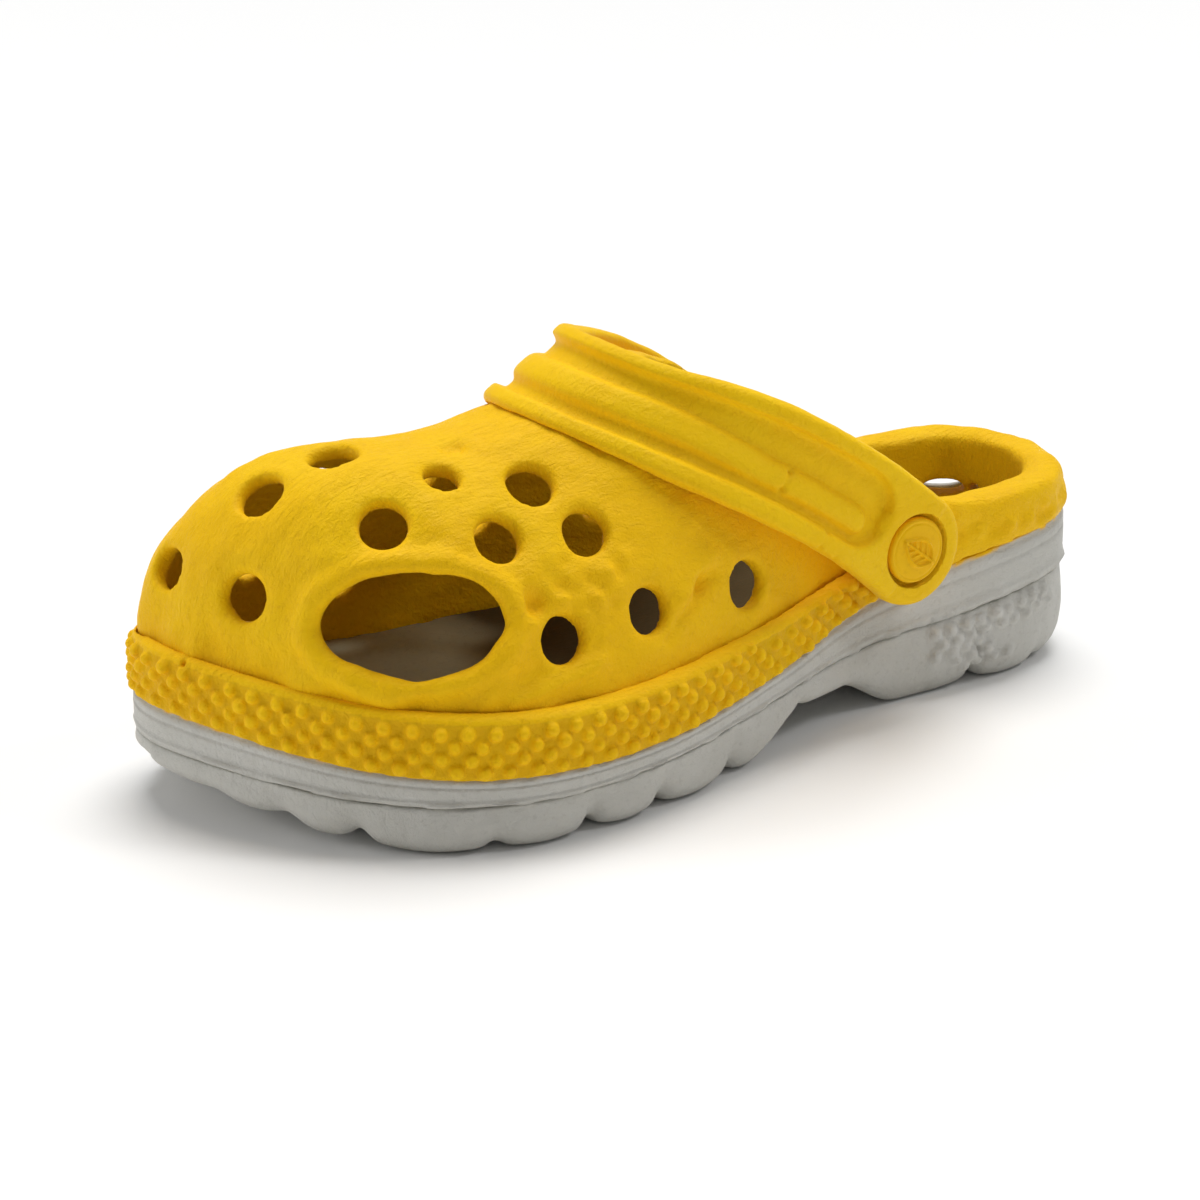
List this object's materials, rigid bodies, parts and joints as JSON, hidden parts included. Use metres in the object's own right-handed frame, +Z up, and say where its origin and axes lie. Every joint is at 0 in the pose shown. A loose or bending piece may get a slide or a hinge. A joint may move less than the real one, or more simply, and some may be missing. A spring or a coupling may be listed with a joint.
{
  "type": "garden clog",
  "caption": "Moulded rubber slip-on clog with a ventilated vamp, knobbly band, lobed sole and a heel strap that swings back over the heel.",
  "frame": {"origin": "centre of the footprint, on the floor", "axes": "+X to the toe, +Y to the outer side of the foot, +Z up"},
  "size_m": [0.272, 0.1119, 0.11],
  "materials": {
    "yellow_rubber": "matte moulded yellow rubber",
    "grey_rubber": "matte moulded pale warm grey rubber",
    "grey_footbed": "matte grey moulded footbed",
    "yellow_strap": "matte moulded yellow rubber strap",
    "yellow_rivet": "matte yellow moulded rivet"
  },
  "bodies": {
    "shoe": {"upper_shell": "yellow_rubber", "foxing_band": "yellow_rubber", "midsole": "grey_rubber", "outsole": "grey_rubber", "footbed": "grey_footbed", "rivet_cap_left": "yellow_rivet", "rivet_cap_right": "yellow_rivet", "rivet_back_left": "yellow_rivet", "rivet_back_right": "yellow_rivet"},
    "strap": {"heel_strap": "yellow_strap"}
  },
  "joints": [
    {"name": "strap_swing", "type": "hinge", "parent": "shoe", "child": "strap", "pos_m": [-0.058, -0.002, 0.0483], "axis": [0, -1, 0], "range_deg": [0, 140]}
  ]
}
